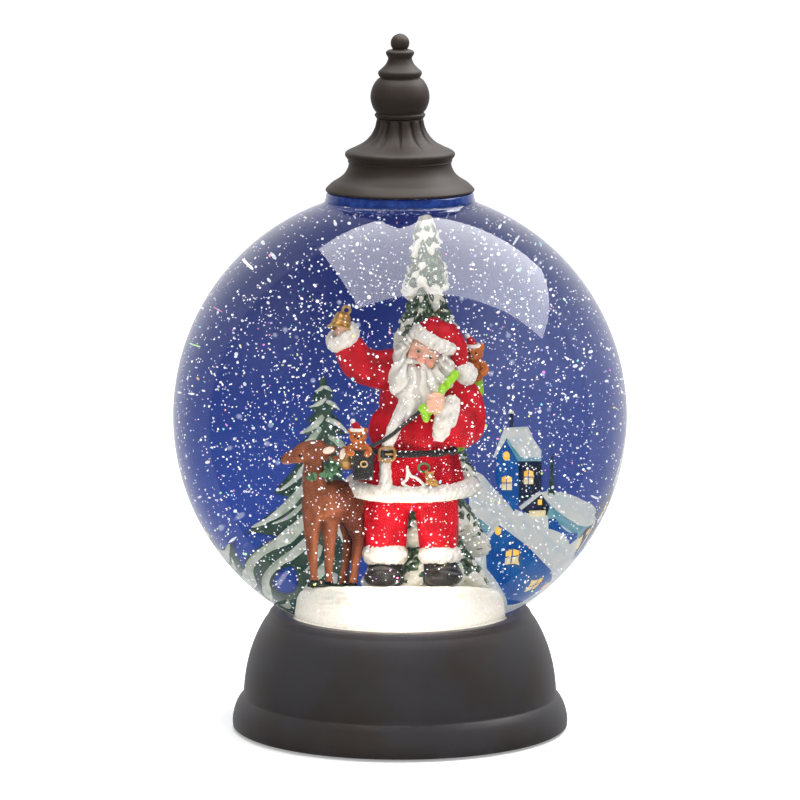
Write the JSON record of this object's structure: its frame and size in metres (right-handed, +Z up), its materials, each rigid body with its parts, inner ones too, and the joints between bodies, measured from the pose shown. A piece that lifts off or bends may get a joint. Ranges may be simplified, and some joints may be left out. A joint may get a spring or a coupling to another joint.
{
  "type": "snow globe",
  "caption": "Round water globe with a winter figure scene, pointed finial and a lighted round base with magnet-driven glitter swirl.",
  "frame": {"origin": "centre of the underside, on the plane the four feet rest on", "axes": "+Z up along the globe's axis; the scene faces -Y; +X to the viewer's right"},
  "size_m": [0.1514, 0.1514, 0.2334],
  "materials": {
    "base_plastic": "very dark brown-black moulded plastic, fine matte grain",
    "inner_plastic": "dark moulded plastic",
    "bronze_paint": "dark bronze-brown paint, soft satin",
    "clear_globe": "clear, polished",
    "clear_plastic": "clear moulded plastic",
    "rubber": "matt black",
    "steel": "plated",
    "circuit_board": "green lacquered board",
    "ferrite": "dark grey sintered magnet",
    "white_plastic": "white moulded plastic",
    "snow": "white textured snow resin, translucent",
    "red_coat": "hand-painted cast resin, satin red",
    "brown_fur": "hand-painted cast resin, warm brown",
    "tree_green": "painted resin, dusted with white",
    "gold_paint": "antique gold paint",
    "black_paint": "satin black paint",
    "night_print": "printed film, night-blue winter village",
    "cell_sleeve": "plain printed sleeve",
    "lead_sheath": "black insulation"
  },
  "bodies": {
    "globe_and_base": {"base_shell": "base_plastic", "bottom_cover": "inner_plastic", "door_hinge_pin": "steel", "battery_tray": "inner_plastic", "contact_link_left": "steel", "contact_link_right": "steel", "motor_can": "steel", "motor_mount": "inner_plastic", "retaining_ring": "inner_plastic", "led_board": "circuit_board", "control_board": "circuit_board", "switch_body": "black_paint", "battery_lead": "lead_sheath", "motor_lead": "lead_sheath", "globe_shell": "clear_globe", "globe_plug": "clear_plastic", "plug_gasket": "rubber", "fill_stopper": "rubber", "backdrop_film": "night_print", "impeller_pin": "steel", "impeller_housing": "white_plastic", "snow_ground": "snow", "gift_giver": "red_coat", "hand_bell": "gold_paint", "satchel": "black_paint", "bear_in_satchel": "brown_fur", "bear_on_shoulder": "brown_fur", "fawn": "brown_fur", "tall_tree": "tree_green", "finial_cap": "bronze_paint", "finial_spire": "bronze_paint", "cover_screw_1": "steel", "rubber_foot_1": "rubber", "cover_screw_2": "steel", "rubber_foot_2": "rubber", "cover_screw_3": "steel", "rubber_foot_3": "rubber", "cover_screw_4": "steel", "rubber_foot_4": "rubber", "battery_1": "cell_sleeve", "battery_spring_1": "steel", "led_1": "white_plastic", "battery_2": "cell_sleeve", "battery_spring_2": "steel", "led_2": "white_plastic", "battery_3": "cell_sleeve", "battery_spring_3": "steel", "led_3": "white_plastic"},
    "door": {"battery_door": "inner_plastic", "door_screw": "steel"},
    "slider": {"switch_slider": "white_plastic"},
    "rotor": {"motor_shaft": "steel", "drive_magnet": "ferrite"},
    "circulator": {"impeller": "white_plastic", "impeller_magnet": "ferrite"}
  },
  "joints": [
    {"name": "battery_door_hinge", "type": "hinge", "parent": "globe_and_base", "child": "door", "pos_m": [0, 0.0262, 0.0033], "axis": [1, 0, 0], "range_deg": [0, 95]},
    {"name": "switch_slide", "type": "slide", "parent": "globe_and_base", "child": "slider", "axis": [-1, 0, 0], "range_m": [0, 0.005]},
    {"name": "magnet_rotor_spin", "type": "hinge", "parent": "globe_and_base", "child": "rotor", "pos_m": [0, 0, 0.03], "axis": [0, 0, 1], "continuous": true},
    {"name": "circulator_spin", "type": "hinge", "parent": "globe_and_base", "child": "circulator", "pos_m": [0, 0, 0.042], "axis": [0, 0, 1], "continuous": true}
  ],
  "couplings": [
    {"joint": "magnet_rotor_spin", "follows": "circulator_spin", "ratio": 1}
  ]
}
